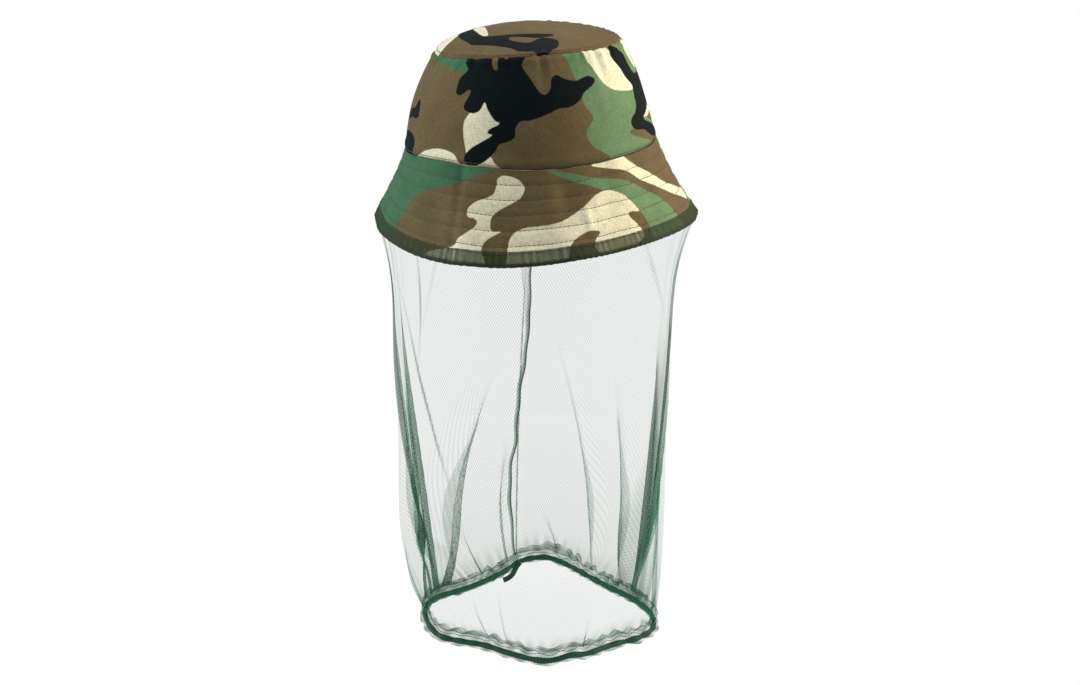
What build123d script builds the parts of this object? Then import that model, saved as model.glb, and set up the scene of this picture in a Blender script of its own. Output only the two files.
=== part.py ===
from build123d import *
import os
from math import hypot

# Beekeeping veil: a cotton bucket hat whose brim carries a fine net that hangs to an
# elastic hem round the neck.
#
# Millimetres, +Z up. The origin is the centre of the head opening, in the plane of the
# seam that joins the crown to the brim. The wearer faces -Y. The crown stands above the
# origin, and the brim, the net and the hem hang below it.
#
# Each piece of cloth is a skin of its own. A skin is one face in the XZ half plane,
# turned about Z: all the way round, or half way for a piece that is cut as a front and
# a back with seams at the sides.

# ---- Head and cloth ---------------------------------------------------------
HEAD_RADIUS = 90.7  # inside the sweatband: a 57 cm head
COTTON = 0.6  # plain weave cotton of the crown and the brim
STIFFENER = 0.8  # nonwoven interlining inside the brim
BAND_CLOTH = 1.0  # folded twill tape of the sweatband
NET = 0.4  # knitted net, over its threads
THREAD = 0.5  # sewing thread, as it lies on the cloth

# ---- Crown ------------------------------------------------------------------
CROWN_HEIGHT = 76.0  # from the brim seam up to the tip seam
TIP_RADIUS = 68.3  # at the tip seam
TIP_RISE = 13.0  # how far the tip domes above its seam
CROWN_BULGE = 2.6  # how far the side stands outside a straight taper
BAND_UPRIGHT = 10.0  # stretch beside the brim seam that stands straight up
BAND_HEIGHT = 28.0  # sweatband, from the brim seam up
TIP_ALLOWANCE = 7.0  # edge of the tip that is turned down inside the crown

# ---- Brim -------------------------------------------------------------------
BRIM_REACH = 27.6  # outwards, from the seam to the edge
BRIM_DROP = 57.0  # downwards, from the seam to the edge
SEAM_STEP = 0.4  # the brim's inner ply stands this far outside the head opening
BRIM_ROWS = 5  # rows of stitching that quilt the brim
ROW_PITCH = 10.2  # between rows, along the brim
BINDING_WIDTH = 9.0  # net folded over the brim's edge, on each side of it
SEAM_INSET = 2.0  # from a seam or an edge to the stitching beside it

# ---- Veil -------------------------------------------------------------------
VEIL_RADIUS = 107.0  # where the net hangs straight
VEIL_FLARE = 62.0  # height over which the net draws in below the brim
VEIL_STRAIGHT = 210.0  # height of the straight stretch
VEIL_GATHER = 42.0  # height over which the net gathers down to the hem
BACK_SEAM_TURN = 4.5  # width of the back seam's allowance, in degrees round the net

# ---- Hem --------------------------------------------------------------------
HEM_GAP = 0.3  # between the net, which folds up, and the hem, which is lifted
HEM_HEIGHT = 14.0  # casing that holds the elastic
HEM_CLEARANCE = 0.2  # from the head opening out to the casing, and inside it
ELASTIC_THICK = 1.6
ELASTIC_WIDE = 5.0
TAIL_LENGTH = 16.0  # cut end of the elastic, which hangs below the hem
TAIL_SWING = 9.0  # how far the cut end curls to one side

# ---- Derived sizes ----------------------------------------------------------
CROWN_RADIUS = HEAD_RADIUS + BAND_CLOTH + COTTON  # outside, at the brim seam
DOME_RADIUS = (TIP_RADIUS**2 + TIP_RISE**2) / (2 * TIP_RISE)  # of the tip's sphere
DOME_CENTRE = CROWN_HEIGHT + TIP_RISE - DOME_RADIUS  # height of that sphere's centre
BRIM_LENGTH = hypot(BRIM_REACH, BRIM_DROP)
SLANT = BRIM_LENGTH / BRIM_DROP  # a ply's radial width over its thickness
BRIM_STACK = COTTON + STIFFENER + COTTON
BRIM_RADIUS = HEAD_RADIUS + SEAM_STEP + BRIM_STACK * SLANT  # outside, at the seam

VEIL_TOP = -BRIM_DROP - NET  # underside of the binding, where the net starts
VEIL_TOP_RADIUS = BRIM_RADIUS + BRIM_REACH - (BRIM_STACK * SLANT - NET) / 2
VEIL_BOTTOM = VEIL_TOP - VEIL_FLARE - VEIL_STRAIGHT - VEIL_GATHER
HEM_TOP = VEIL_BOTTOM - HEM_GAP
HEM_BOTTOM = HEM_TOP - HEM_HEIGHT
HEM_INNER = HEAD_RADIUS + HEM_CLEARANCE
ELASTIC_INNER = HEM_INNER + NET + HEM_CLEARANCE
ELASTIC_OUTER = ELASTIC_INNER + ELASTIC_THICK
HEM_OUTER = ELASTIC_OUTER + HEM_CLEARANCE + NET

HALF = 180  # degrees in a front or a back piece
BACK = 90  # degrees round from +X to the middle of the back


def at(radius, height):
    """A point of the half plane in which skins are drawn."""
    return (radius, 0, height)


def turned(outline, arc=360, start=0):
    """The solid that an outline makes when it turns about Z, from start degrees."""
    return Rot(0, 0, start) * revolve(make_face(outline), Axis.Z, revolution_arc=arc)


def polygon(*points):
    """A closed outline with straight sides, through (radius, height) points."""
    return Polyline(*[at(*p) for p in points], close=True).edges()


def skin(line, inside, outside=0.0):
    """The outline between a line of the half plane and itself, moved in along the radius.

    line maps a distance inwards to a list of edges that run from top to bottom.
    """
    outer, inner = line(outside), line(inside)
    ends = [Line(outer[0] @ 0, inner[0] @ 0), Line(outer[-1] @ 1, inner[-1] @ 1)]
    return [*outer, *inner, *ends]


# ---- Crown ------------------------------------------------------------------


def crown_line(inwards):
    """The crown's side, from the tip seam down to the brim seam."""
    top = Vector(*at(TIP_RADIUS - inwards, CROWN_HEIGHT))
    knee = Vector(*at(CROWN_RADIUS - inwards, BAND_UPRIGHT))
    along = (knee - top).normalized()
    outwards = Vector(-along.Z, 0, along.X)
    middle = (top + knee) / 2 + outwards * CROWN_BULGE
    return [
        ThreePointArc(top, middle, knee),
        Line(knee, at(CROWN_RADIUS - inwards, 0)),
    ]


def crown_side(start):
    """Half of the crown's side, from one side seam round to the other."""
    return turned(skin(crown_line, COTTON), HALF, start)


def crown_tip():
    """The domed top panel, with its seam allowance turned down inside the crown."""
    rim = TIP_RADIUS - COTTON
    dome = Pos(0, 0, DOME_CENTRE) * (Sphere(DOME_RADIUS) - Sphere(DOME_RADIUS - COTTON))
    panel = dome & Pos(0, 0, CROWN_HEIGHT) * Cylinder(
        TIP_RADIUS, 2 * TIP_RISE, align=(Align.CENTER, Align.CENTER, Align.MIN)
    )
    foot = CROWN_HEIGHT - TIP_ALLOWANCE
    allowance = turned(
        polygon(
            (rim, CROWN_HEIGHT),
            (rim - COTTON, CROWN_HEIGHT),
            (rim - COTTON, foot),
            (rim, foot),
        )
    )
    return panel + allowance


def sweatband():
    """The twill tape inside the brim seam: upright beside it, then along the crown's taper."""
    share = (BAND_HEIGHT - BAND_UPRIGHT) / (CROWN_HEIGHT - BAND_UPRIGHT)
    lean = (CROWN_RADIUS - TIP_RADIUS) * share
    outer = HEAD_RADIUS + BAND_CLOTH
    return turned(
        polygon(
            (outer, 0),
            (outer, BAND_UPRIGHT),
            (outer - lean, BAND_HEIGHT),
            (HEAD_RADIUS - lean, BAND_HEIGHT),
            (HEAD_RADIUS, BAND_UPRIGHT),
            (HEAD_RADIUS, 0),
        )
    )


# ---- Brim -------------------------------------------------------------------


def brim_radius(height, depth=0.0):
    """Radius of the brim at a height, at a depth below its outer face."""
    return BRIM_RADIUS - BRIM_REACH * height / BRIM_DROP - depth * SLANT


def brim_ply(depth, thickness, arc=360, start=0):
    """One ply of the brim, at a depth below its outer face."""
    low = depth + thickness
    return turned(
        polygon(
            (brim_radius(0, depth), 0),
            (brim_radius(-BRIM_DROP, depth), -BRIM_DROP),
            (brim_radius(-BRIM_DROP, low), -BRIM_DROP),
            (brim_radius(0, low), 0),
        ),
        arc,
        start,
    )


def brim_binding():
    """Net folded round the brim's edge, with a leg on each face of the brim."""
    head = -BRIM_DROP * (1 - BINDING_WIDTH / BRIM_LENGTH)
    edge = -BRIM_DROP
    fold = edge - NET
    return turned(
        polygon(
            (brim_radius(head, -NET), head),
            (brim_radius(fold, -NET), fold),
            (brim_radius(fold, BRIM_STACK + NET), fold),
            (brim_radius(head, BRIM_STACK + NET), head),
            (brim_radius(head, BRIM_STACK), head),
            (brim_radius(edge, BRIM_STACK), edge),
            (brim_radius(edge, 0), edge),
            (brim_radius(head, 0), head),
        )
    )


# ---- Stitching --------------------------------------------------------------


def brim_row(distance, lift=0.0):
    """A row of stitching on the brim's outer face, at a distance down from the seam."""
    high = -BRIM_DROP * (distance - THREAD / 2) / BRIM_LENGTH
    low = -BRIM_DROP * (distance + THREAD / 2) / BRIM_LENGTH
    return turned(
        polygon(
            (brim_radius(high, -lift), high),
            (brim_radius(high, -lift - THREAD), high),
            (brim_radius(low, -lift - THREAD), low),
            (brim_radius(low, -lift), low),
        )
    )


def upright_row(radius, height):
    """A row of stitching on an upright wall of cloth."""
    half = THREAD / 2
    return turned(
        polygon(
            (radius, height - half),
            (radius + THREAD, height - half),
            (radius + THREAD, height + half),
            (radius, height + half),
        )
    )


def tip_row():
    """The row that holds the tip's seam, on the dome just inside the seam."""
    inner = TIP_RADIUS - SEAM_INSET - THREAD / 2
    outer = inner + THREAD
    high, low = (DOME_CENTRE + (DOME_RADIUS**2 - r**2) ** 0.5 for r in (inner, outer))
    return turned(
        polygon(
            (inner, high), (outer, high), (outer, high + THREAD), (inner, high + THREAD)
        )
    )


# ---- Veil -------------------------------------------------------------------


def veil_line(inwards):
    """The net, from the binding down to the hem: flared, straight, then gathered."""
    top = at(VEIL_TOP_RADIUS - inwards, VEIL_TOP)
    waist = at(VEIL_RADIUS - inwards, VEIL_TOP - VEIL_FLARE)
    knee = at(VEIL_RADIUS - inwards, VEIL_BOTTOM + VEIL_GATHER)
    foot = at(HEM_OUTER - inwards, VEIL_BOTTOM)
    flare = TangentArc(waist, top, tangent=(0, 0, 1))
    return [
        TangentArc(top, waist, tangent=-(flare % 1)),
        Line(waist, knee),
        TangentArc(knee, foot, tangent=(0, 0, -1)),
    ]


def seam_strip(turn, near, far):
    """A strip down the inside of the net at the back, between two depths inside it."""
    return turned(
        skin(lambda inwards: veil_line(near + inwards), far - near), turn, BACK - turn / 2
    )


# ---- Hem --------------------------------------------------------------------


def hem_casing():
    """The net's lower edge, turned up to make a channel for the elastic."""
    return turned(
        polygon(
            (HEM_INNER, HEM_TOP),
            (HEM_INNER, HEM_BOTTOM),
            (HEM_OUTER, HEM_BOTTOM),
            (HEM_OUTER, HEM_TOP),
            (HEM_OUTER - NET, HEM_TOP),
            (HEM_OUTER - NET, HEM_BOTTOM + NET),
            (HEM_INNER + NET, HEM_BOTTOM + NET),
            (HEM_INNER + NET, HEM_TOP),
        )
    )


def elastic_band():
    """The braided elastic that draws the hem in, lying in the foot of its channel."""
    foot = HEM_BOTTOM + NET + HEM_CLEARANCE
    return turned(
        polygon(
            (ELASTIC_INNER, foot),
            (ELASTIC_OUTER, foot),
            (ELASTIC_OUTER, foot + ELASTIC_WIDE),
            (ELASTIC_INNER, foot + ELASTIC_WIDE),
        )
    )


def elastic_tail():
    """The cut end of the elastic, which comes out at the back seam and curls to one side."""
    middle = (ELASTIC_INNER + ELASTIC_OUTER) / 2
    start = Vector(0, middle, HEM_BOTTOM)
    end = start + Vector(-TAIL_SWING, 0, -TAIL_LENGTH)
    path = TangentArc(start, end, tangent=(0, 0, -1))
    section = Plane(start, x_dir=(1, 0, 0), z_dir=(0, 0, -1)) * Rectangle(
        ELASTIC_WIDE, ELASTIC_THICK
    )
    return sweep(section, path)


def hem_row():
    """The row that closes the channel, between its two walls near the top."""
    width = ELASTIC_THICK + 2 * HEM_CLEARANCE
    inner = HEM_INNER + NET
    return turned(
        polygon(
            (inner, HEM_TOP - SEAM_INSET),
            (inner + width, HEM_TOP - SEAM_INSET),
            (inner + width, HEM_TOP - SEAM_INSET + THREAD),
            (inner, HEM_TOP - SEAM_INSET + THREAD),
        )
    )


PARTS = {
    "crown_tip": crown_tip(),
    "crown_side_front": crown_side(HALF),
    "crown_side_back": crown_side(0),
    "sweatband": sweatband(),
    "brim_top_front": brim_ply(0, COTTON, HALF, HALF),
    "brim_top_back": brim_ply(0, COTTON, HALF, 0),
    "brim_interlining": brim_ply(COTTON, STIFFENER),
    "brim_under_front": brim_ply(COTTON + STIFFENER, COTTON, HALF, HALF),
    "brim_under_back": brim_ply(COTTON + STIFFENER, COTTON, HALF, 0),
    "brim_binding": brim_binding(),
    "tip_stitching": tip_row(),
    "crown_base_stitching": upright_row(CROWN_RADIUS, SEAM_INSET),
    "brim_stitching": Compound([brim_row(ROW_PITCH * (n + 1)) for n in range(BRIM_ROWS)]),
    "binding_stitching": brim_row(BRIM_LENGTH - BINDING_WIDTH + THREAD, NET),
    "veil_net": turned(skin(veil_line, NET)),
    "veil_back_seam": seam_strip(BACK_SEAM_TURN, NET, 2 * NET),
    "veil_seam_stitching": seam_strip(
        BACK_SEAM_TURN / 9, 2 * NET, 2 * NET + THREAD
    ),
    "hem_casing": hem_casing(),
    "elastic_band": elastic_band(),
    "elastic_tail": elastic_tail(),
    "hem_stitching": hem_row(),
}

os.makedirs("parts", exist_ok=True)
for name, shape in PARTS.items():
    export_step(shape, f"parts/{name}.step")
print(f"{len(PARTS)} nodes, brim {BRIM_LENGTH:.1f} mm wide")
print(f"veil from {VEIL_TOP:.1f} to {VEIL_BOTTOM:.1f}, hem to {HEM_BOTTOM:.1f}")
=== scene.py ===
# %% [markdown]
# # A beekeeping veil, in looks
#
# The object is a cotton bucket hat whose brim carries a fine net. The net hangs round the
# head and is drawn in below the chin by elastic. Nothing in it is rigid, so almost every
# piece here is a sheet of cloth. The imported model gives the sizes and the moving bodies, and
# each cloth piece built below stands for one plain solid of that model.

# %% Load the frame
import math

import bpy
import numpy as np
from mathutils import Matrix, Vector


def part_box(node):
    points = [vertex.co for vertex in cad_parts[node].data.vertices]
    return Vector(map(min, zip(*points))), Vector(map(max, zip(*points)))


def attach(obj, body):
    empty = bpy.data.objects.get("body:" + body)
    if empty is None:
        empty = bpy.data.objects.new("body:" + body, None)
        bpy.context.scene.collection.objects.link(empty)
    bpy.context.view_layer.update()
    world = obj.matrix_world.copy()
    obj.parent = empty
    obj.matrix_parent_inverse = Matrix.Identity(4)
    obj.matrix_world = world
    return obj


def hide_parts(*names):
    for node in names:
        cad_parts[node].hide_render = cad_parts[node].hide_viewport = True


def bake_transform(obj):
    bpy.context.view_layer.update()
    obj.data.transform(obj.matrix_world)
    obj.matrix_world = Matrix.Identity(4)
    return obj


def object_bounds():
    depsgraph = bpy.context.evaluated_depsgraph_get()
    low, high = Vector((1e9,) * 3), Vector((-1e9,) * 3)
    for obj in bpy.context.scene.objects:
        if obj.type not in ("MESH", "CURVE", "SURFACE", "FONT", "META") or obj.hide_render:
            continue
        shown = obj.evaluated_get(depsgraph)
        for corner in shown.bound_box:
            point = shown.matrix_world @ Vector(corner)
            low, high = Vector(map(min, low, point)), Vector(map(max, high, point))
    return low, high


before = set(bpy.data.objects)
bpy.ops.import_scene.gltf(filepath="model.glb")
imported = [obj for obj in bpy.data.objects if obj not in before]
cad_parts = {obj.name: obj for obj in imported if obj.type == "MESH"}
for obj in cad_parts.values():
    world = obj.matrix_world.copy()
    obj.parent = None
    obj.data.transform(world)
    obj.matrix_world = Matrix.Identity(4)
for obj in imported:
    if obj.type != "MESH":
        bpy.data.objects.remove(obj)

cad_low, cad_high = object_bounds()

# %% [markdown]
# ## Sizes
#
# Cloth is drawn in millimetres, because that is how a pattern cutter thinks, and turned to
# metres only when a mesh is made. The driving sizes are read from the frame, so the looks
# follow the model when it changes. The two sizes that a box can't give, how far the brim
# reaches out and how far its stitched rows lie apart, are written here.

# %% Sizes from the frame
MM = 0.001


def box_mm(name):
    """Lowest and highest corner of a CAD node, in millimetres."""
    low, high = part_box(name)
    return low / MM, high / MM


CROWN_HEIGHT = box_mm("crown_side_front")[1].z
TIP_RADIUS = box_mm("crown_tip")[1].x
TIP_RISE = box_mm("crown_tip")[1].z - CROWN_HEIGHT
BRIM_DROP = -box_mm("brim_top_front")[0].z
BRIM_REACH = 27.6
SEAM_RADIUS = box_mm("brim_top_front")[1].x - BRIM_REACH
BRIM_LENGTH = math.hypot(BRIM_REACH, BRIM_DROP)
ROW_PITCH = 10.2
QUILT_ROWS = 5
BINDING_WIDTH = 9.0
COTTON = 0.6
STIFFENER = 0.8
THREAD = 0.5
BRIM_STACK = COTTON + STIFFENER + COTTON
HEM_BOTTOM = box_mm("hem_casing")[0].z
print(f"crown {CROWN_HEIGHT:.1f} high, brim seam radius {SEAM_RADIUS:.1f}, hem at {HEM_BOTTOM:.1f}")

# %% [markdown]
# ## How the hat settles
#
# A soft hat never stands as true as its pattern. It leans a little, its brim waves, and its
# crown droops to one side. All the hat's pieces have to droop together, or they would come
# apart, so one function moves them all: it takes a point of the upright hat, as a turn round
# the head in degrees from the front, a radius and a height, and returns where it lies.

# %% The settled hat


def settle(turn, radius, height):
    """Where a point of the upright hat lies once the cloth has settled, in millimetres."""
    turn, radius, height = np.broadcast_arrays(
        np.asarray(turn, float), np.asarray(radius, float), np.asarray(height, float)
    )
    a = np.radians(turn)
    down = np.clip(-height / BRIM_DROP, 0, 1.3)
    up = np.clip(height / CROWN_HEIGHT, 0, 1)
    # The waves are in mm: how far the brim's edge, the seam and the tip rise at each turn.
    edge_wave = 5.4 * np.sin(2 * a) - 2.9 * np.cos(2 * a)
    seam_wave = 0.7 + 2.0 * np.sin(2 * a) ** 2 + 4.0 * np.sin(a) ** 3
    tip_wave = 4.6 * np.sin(a) + 2.0 * np.cos(2 * a)
    inner = np.where(height > CROWN_HEIGHT, np.clip(radius / TIP_RADIUS, 0, 1), 1)
    droop = -6.0 * np.clip(np.sin(a), 0, 1) * inner * (1 - inner)
    tip_lift = tip_wave * inner**3 - 0.3 - 0.8 * (1 - inner**2) + droop
    lift_down = seam_wave * (1 - down) + edge_wave * down
    lift_up = seam_wave * (1 - up) + tip_lift * up
    lift = np.where(height < 0, lift_down, lift_up)
    lean = -4.3 * np.clip(1 - down, 0, 1) - 1.9 * up - 1.1 * np.sin(np.pi * up) - 2 * (1 - inner)
    return np.stack([radius * np.sin(a) + lean, -radius * np.cos(a), height + lift], -1)


print("front of the brim's edge", settle(0, SEAM_RADIUS + BRIM_REACH, -BRIM_DROP).round(1))

# %% [markdown]
# ## Small uneven waves
#
# Hand-guided cloth has puckers and dents that never repeat. A sum of a few sine waves with
# seeded lengths and phases gives a smooth unevenness that closes on itself round the hat,
# because each wave goes round a whole number of times.

# %% Unevenness
dice = np.random.default_rng(57)


def frozen_uneven(slowest, fastest, length, waves=7):
    """Smooth unevenness from about -1 to 1: slowest to fastest waves round, length mm down."""
    rounds = dice.integers(slowest, fastest + 1, waves)
    slants = dice.uniform(-1, 1, waves) * 2 * np.pi / length
    phases = dice.uniform(0, 2 * np.pi, waves)

    def waves_at(turn, along=0.0):
        total = 0.0
        for count, slant, phase in zip(rounds, slants, phases):
            total = total + np.sin(np.radians(turn) * count + along * slant + phase)
        return total / math.sqrt(waves)

    return waves_at


def near(value, centre, width):
    """A soft hump, 1 at the centre and about nothing two widths away."""
    return np.exp(-(((value - centre) / width) ** 2))


def smooth(value, low, high):
    """From 0 at low to 1 at high, with soft ends."""
    share = np.clip((value - low) / (high - low), 0, 1)
    return share * share * (3 - 2 * share)


PUCKER = frozen_uneven(30, 70, 60, 12)
DENT = frozen_uneven(3, 9, 70)
print("puckers at the front and the side", PUCKER(np.array([0.0, 90.0])).round(2))

# %% [markdown]
# ## From a surface to a piece
#
# Every cloth piece is a grid of points on a surface. The maker below turns a grid into a
# mesh, gives it a UV map that is measured along the cloth in metres, so that a weave keeps
# its size, and can close the grid on itself for a piece that goes all the way round.

# %% Grid to mesh


def cloth_mesh(name, points, flat_u, flat_v, closed=False):
    """A mesh over a grid of points in mm; flat_u and flat_v are its cloth coordinates in mm."""
    rows, columns = points.shape[:2]
    mesh = bpy.data.meshes.new(name)
    spans = columns if closed else columns - 1
    first = np.arange(rows - 1)[:, None] * columns
    here = np.arange(spans)[None, :]
    following = (here + 1) % columns
    corners = [first + here, first + following, first + columns + following, first + columns + here]
    faces = np.stack(corners, -1).reshape(-1, 4)
    mesh.from_pydata((points.reshape(-1, 3) * MM).tolist(), [], faces.tolist())
    place_u = np.stack([here, here + 1, here + 1, here], -1)
    place_v = np.arange(rows - 1)[:, None, None] + np.array([0, 0, 1, 1])
    place_u, place_v = np.broadcast_arrays(place_u, place_v)
    step = flat_u[-1] + (flat_u[1] - flat_u[0])
    wide_u = np.append(flat_u, step)
    coordinates = np.stack([wide_u[place_u], flat_v[place_v]], -1).reshape(-1, 2) * MM
    layer = mesh.uv_layers.new(name="cloth")
    layer.data.foreach_set("uv", coordinates.astype(np.float32).ravel())
    mesh.validate()
    return mesh


def store_numbers(mesh, name, values):
    """Stores one number at each point of a mesh."""
    values = np.asarray(values, np.float32).ravel()
    mesh.attributes.new(name, "FLOAT", "POINT").data.foreach_set("value", values)


print("grid maker is ready")

# %% Mesh to piece


def link(name, data):
    """Puts a new object with its data into the scene."""
    made = bpy.data.objects.new(name, data)
    bpy.context.scene.collection.objects.link(made)
    return made


def new_piece(name, mesh, *materials):
    """An object at the origin that shows the mesh in the given materials."""
    piece = link(name, mesh)
    for finish in materials:
        mesh.materials.append(finish)
    mesh.shade_smooth()
    return piece


def only(piece):
    """Selects one piece and nothing else."""
    bpy.ops.object.select_all(action="DESELECT")
    piece.select_set(True)
    bpy.context.view_layer.objects.active = piece


def finish_with(piece, kind, **settings):
    """Adds a modifier to a piece and applies it."""
    only(piece)
    modifier = piece.modifiers.new(kind.lower(), kind)
    for key, value in settings.items():
        setattr(modifier, key, value)
    bpy.ops.object.modifier_apply(modifier=modifier.name)


def thicken(piece, thickness, inside=0):
    """Gives a sheet its thickness in mm. inside is the material step of its other face."""
    finish_with(
        piece,
        "SOLIDIFY",
        thickness=thickness * MM,
        offset=-1,
        material_offset=inside,
        material_offset_rim=inside,
    )


def weld(piece, distance, outwards=False):
    """Merges the points that lie within a distance in mm, and can turn the faces outwards."""
    only(piece)
    bpy.ops.object.mode_set(mode="EDIT")
    bpy.ops.mesh.select_all(action="SELECT")
    bpy.ops.mesh.remove_doubles(threshold=distance * MM)
    if outwards:
        bpy.ops.mesh.normals_make_consistent(inside=False)
    bpy.ops.object.mode_set(mode="OBJECT")


print("piece makers are ready")

# %% [markdown]
# ## Camera and light
#
# The camera stands a metre and a half in front and looks down a little, through a lens a bit
# longer than normal, so that the hem's far side shows above its near side. The studio is
# white all round. Two broad soft lights stand at the sides, the right one brighter and a
# little warmer, a third hangs overhead and a weak one fills in from the front, so the
# upright middle of the crown is the darkest part of its front. The world is less bright to
# the cloth than it is to the eye, which keeps the shades in the folds, and the floor is a lit
# panel, so that it stays as pale as the rest.

# %% Camera
CAMERA_TILT = 0.323
camera_data = bpy.data.cameras.new("camera")
camera_data.sensor_width = 36
camera_data.lens = 66.05
camera_data.clip_end = 20
camera = link("camera", camera_data)
camera.location = (0.0029, -1.454, 0.3285)
camera.rotation_euler = (math.pi / 2 - CAMERA_TILT, 0, 0)
bpy.context.scene.camera = camera
print("camera looks down", round(math.degrees(CAMERA_TILT), 1), "degrees")

# %% Colours and nodes


def srgb(code):
    """A colour written as sRGB hex, as the linear values that nodes take."""
    values = [int(code[i : i + 2], 16) / 255 for i in (1, 3, 5)]
    linear = [v / 12.92 if v <= 0.04045 else ((v + 0.055) / 1.055) ** 2.4 for v in values]
    return (*linear, 1.0)


def feed(tree, target, inputs):
    """Sets a node's inputs, each to a value or to the output that feeds it."""
    for socket, value in dict(inputs).items():
        if isinstance(value, bpy.types.NodeSocket):
            tree.links.new(value, target.inputs[socket])
        else:
            target.inputs[socket].default_value = value


def node(tree, kind, inputs=(), **settings):
    """Adds a node with its settings and inputs."""
    made = tree.nodes.new(kind)
    for key, value in settings.items():
        setattr(made, key, value)
    feed(tree, made, inputs)
    return made


def sums(tree, operation, *values):
    """The outcome of one step of arithmetic."""
    return node(tree, "ShaderNodeMath", enumerate(values), operation=operation).outputs[0]


def ranged(tree, value, low, high, to_low=0.0, to_high=1.0):
    """A value carried from one range to another, and held inside it."""
    ends = {"Value": value, "From Min": low, "From Max": high, "To Min": to_low, "To Max": to_high}
    return node(tree, "ShaderNodeMapRange", ends).outputs[0]


def mixed(tree, share, first, second):
    """The first colour where the share is 0, the second where it is 1."""
    return node(tree, "ShaderNodeMix", {0: share, 6: first, 7: second}, data_type="RGBA").outputs[2]


def clouds(tree, place, size, detail=2.0, distortion=0.0):
    """Soft noise whose spots have a size in metres."""
    inputs = {"Vector": place, "Scale": 1 / size, "Detail": detail, "Distortion": distortion}
    return node(tree, "ShaderNodeTexNoise", inputs).outputs[0]


def relief(tree, height, strength, distance):
    """Fine relief that a height gives a surface, at most a distance deep."""
    inputs = {"Height": height, "Strength": strength, "Distance": distance}
    return node(tree, "ShaderNodeBump", inputs).outputs[0]


def cloth_place(tree):
    """Where a point lies on the flat cloth, in metres."""
    return node(tree, "ShaderNodeUVMap", uv_map="cloth").outputs[0]


def object_place(tree):
    """Where a point lies on the object, in metres."""
    return node(tree, "ShaderNodeTexCoord").outputs["Object"]


def new_material(name):
    """A material with its node tree and its Principled shader."""
    finish = bpy.data.materials.new(name)
    finish.use_nodes = True
    return finish, finish.node_tree, finish.node_tree.nodes["Principled BSDF"]


print("brown in linear", [round(v, 3) for v in srgb("#675a3d")])

# %% Studio
STUDIO_WHITE = 1.0
STUDIO_GLOW = 0.12
world = bpy.data.worlds.new("studio")
bpy.context.scene.world = world
world.use_nodes = True
sky = world.node_tree
sky.nodes.clear()
seen = node(sky, "ShaderNodeLightPath").outputs["Is Camera Ray"]
strength = ranged(sky, seen, 0.0, 1.0, STUDIO_GLOW, STUDIO_WHITE)
glow = node(sky, "ShaderNodeBackground", {"Color": (1, 1, 1, 1), "Strength": strength})
node(sky, "ShaderNodeOutputWorld", {"Surface": glow.outputs[0]})


def soft_sun(name, direction, strength, spread, colour):
    """Even light from a direction, spread over an angle in degrees so that shadows are soft."""
    data = bpy.data.lights.new(name, "SUN")
    data.energy = strength
    data.angle = math.radians(spread)
    data.color = srgb(colour)[:3]
    lamp = link(name, data)
    lamp.rotation_euler = Vector(direction).to_track_quat("-Z", "Y").to_euler()


soft_sun("right_light", (-0.95, -0.15, -0.25), 4.3, 45, "#fff1de")
soft_sun("left_light", (0.95, -0.15, -0.25), 2.9, 45, "#f6f9ff")
soft_sun("top_light", (0.0, 0.05, -1.0), 1.2, 50, "#ffffff")
soft_sun("front_light", (0.0, 0.9, -0.45), 0.65, 60, "#ffffff")
scene = bpy.context.scene
scene.view_settings.view_transform = "Standard"
scene.cycles.transparent_max_bounces = 40
scene.cycles.max_bounces = 8
print("studio glow", STUDIO_GLOW)

# %% Floor
FLOOR_HEIGHT = cad_low.z
FLOOR_RADIUS = 0.5
bpy.ops.object.select_all(action="DESELECT")
bpy.ops.mesh.primitive_circle_add(
    vertices=96, radius=FLOOR_RADIUS, fill_type="NGON", location=(0, 0, FLOOR_HEIGHT)
)
floor = bpy.context.active_object
floor.name = "studio_floor"
paint, paint_tree, paint_shader = new_material("matt white light panel")
feed(
    paint_tree,
    paint_shader,
    {
        "Base Color": (0.06, 0.06, 0.06, 1),
        "Roughness": 0.9,
        "Specular IOR Level": 0.0,
        "Emission Color": (1, 1, 1, 1),
        "Emission Strength": 0.95,
    },
)
floor.data.materials.append(paint)
print("floor at", round(FLOOR_HEIGHT, 4))

# %% [markdown]
# ## The camouflage print
#
# Camouflage cotton is a plain weave, printed in four colours with blots that have crisp,
# rounded edges. The ground is brown. Green goes on it first, then cream, and black last, so
# each later colour may run over an earlier one. A blot is drawn as a closed smooth line
# through a few points: round the hat in degrees, and up or down the panel in millimetres.
# At every vertex of a panel the distance to the nearest edge of each colour is stored, above
# zero inside the blot. The distance changes evenly between vertices, so the material can cut
# it at zero and gets an edge that is far finer than the mesh.

# %% Blots
FAR = 99.0
DEEPEST = 9


def smooth_loop(points, steps=6):
    """A closed smooth line that passes through the points."""
    p = np.asarray(points, float)
    before, after, beyond = np.roll(p, 1, 0), np.roll(p, -1, 0), np.roll(p, -2, 0)
    t = (np.arange(steps) / steps)[None, :, None]
    p0, p1, p2, p3 = (v[:, None, :] for v in (before, p, after, beyond))
    bend = 2 * p1 + (p2 - p0) * t + (2 * p0 - 5 * p1 + 4 * p2 - p3) * t**2
    return (0.5 * (bend + (3 * p1 - p0 - 3 * p2 + p3) * t**3)).reshape(-1, 2)


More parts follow.
